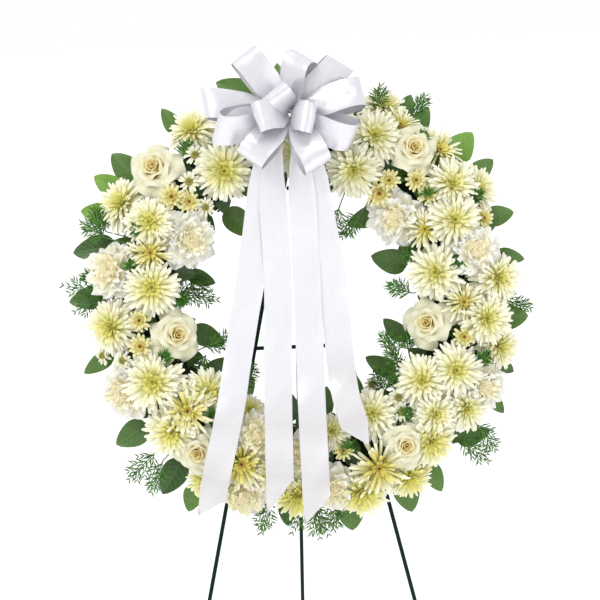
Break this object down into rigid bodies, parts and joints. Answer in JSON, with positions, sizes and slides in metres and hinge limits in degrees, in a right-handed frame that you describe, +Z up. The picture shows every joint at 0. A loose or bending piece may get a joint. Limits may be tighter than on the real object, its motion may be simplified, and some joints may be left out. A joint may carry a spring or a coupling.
{
  "type": "funeral wreath on easel",
  "caption": "White funeral wreath of roses, carnations and spray chrysanthemums with a satin bow and streamers, on a folding wire easel.",
  "frame": {"origin": "on the floor, under the middle of the whole object's box", "axes": "+Z up; the flowers face -Y; +X is to the right as the wreath is looked at"},
  "size_m": [0.5726, 0.4486, 1.0595],
  "materials": {
    "easel_enamel": "glossy dark green enamel on steel wire",
    "tie_wire": "thin green lacquer",
    "tray_plastic": "moulded, satin",
    "floral_foam": "crushable wet foam, dull",
    "ribbon_satin": "white satin with soft lavender shadows",
    "rose_petals": "cream petals, soft sheen",
    "carnation_petals": "matt frilled petals",
    "mum_petals": "white petals, yellow-green at their base",
    "button_petals": "yellow petals round a brown eye",
    "aster_petals": "white rays round an olive disc",
    "salal_leaf": "leathery leaf, soft gloss",
    "fern_frond": "fine matt needles"
  },
  "bodies": {
    "stand": {"aster_spray": "aster_petals", "base_tray": "tray_plastic", "bow": "ribbon_satin", "button_spray_left": "button_petals", "button_spray_right": "button_petals", "carnation_1": "carnation_petals", "carnation_2": "carnation_petals", "carnation_3": "carnation_petals", "carnation_4": "carnation_petals", "carnation_5": "carnation_petals", "carnation_6": "carnation_petals", "carnation_7": "carnation_petals", "carnation_8": "carnation_petals", "carnation_spray": "carnation_petals", "easel_cross_bar": "easel_enamel", "easel_front_frame": "easel_enamel", "easel_hinge_pin": "easel_enamel", "easel_lower_rest": "easel_enamel", "fern_bottom": "fern_frond", "fern_inner": "fern_frond", "fern_left": "fern_frond", "foam_ring": "floral_foam", "inner_leaves_1": "salal_leaf", "inner_leaves_2": "salal_leaf", "inner_leaves_3": "salal_leaf", "inner_leaves_4": "salal_leaf", "inner_leaves_5": "salal_leaf", "inner_leaves_6": "salal_leaf", "mum_spray_01": "mum_petals", "mum_spray_02": "mum_petals", "mum_spray_03": "mum_petals", "mum_spray_04": "mum_petals", "mum_spray_05": "mum_petals", "mum_spray_06": "mum_petals", "mum_spray_07": "mum_petals", "mum_spray_08": "mum_petals", "mum_spray_09": "mum_petals", "mum_spray_10": "mum_petals", "mum_spray_11": "mum_petals", "mum_spray_12": "mum_petals", "outer_leaves_1": "salal_leaf", "outer_leaves_2": "salal_leaf", "outer_leaves_3": "salal_leaf", "outer_leaves_4": "salal_leaf", "outer_leaves_5": "salal_leaf", "outer_leaves_6": "salal_leaf", "rose_1": "rose_petals", "rose_2": "rose_petals", "rose_3": "rose_petals", "rose_4": "rose_petals", "rose_5": "rose_petals", "rose_6": "rose_petals", "staple_left": "tie_wire", "staple_right": "tie_wire", "staple_top": "tie_wire", "streamer_1": "ribbon_satin", "streamer_2": "ribbon_satin", "streamer_3": "ribbon_satin", "streamer_4": "ribbon_satin"},
    "back_leg": {"easel_back_leg": "easel_enamel"}
  },
  "joints": [
    {"name": "back_leg_hinge", "type": "hinge", "parent": "stand", "child": "back_leg", "pos_m": [0.00439, -0.04856, 0.88391], "axis": [1, 0, 0], "range_deg": [-23, 0]}
  ]
}
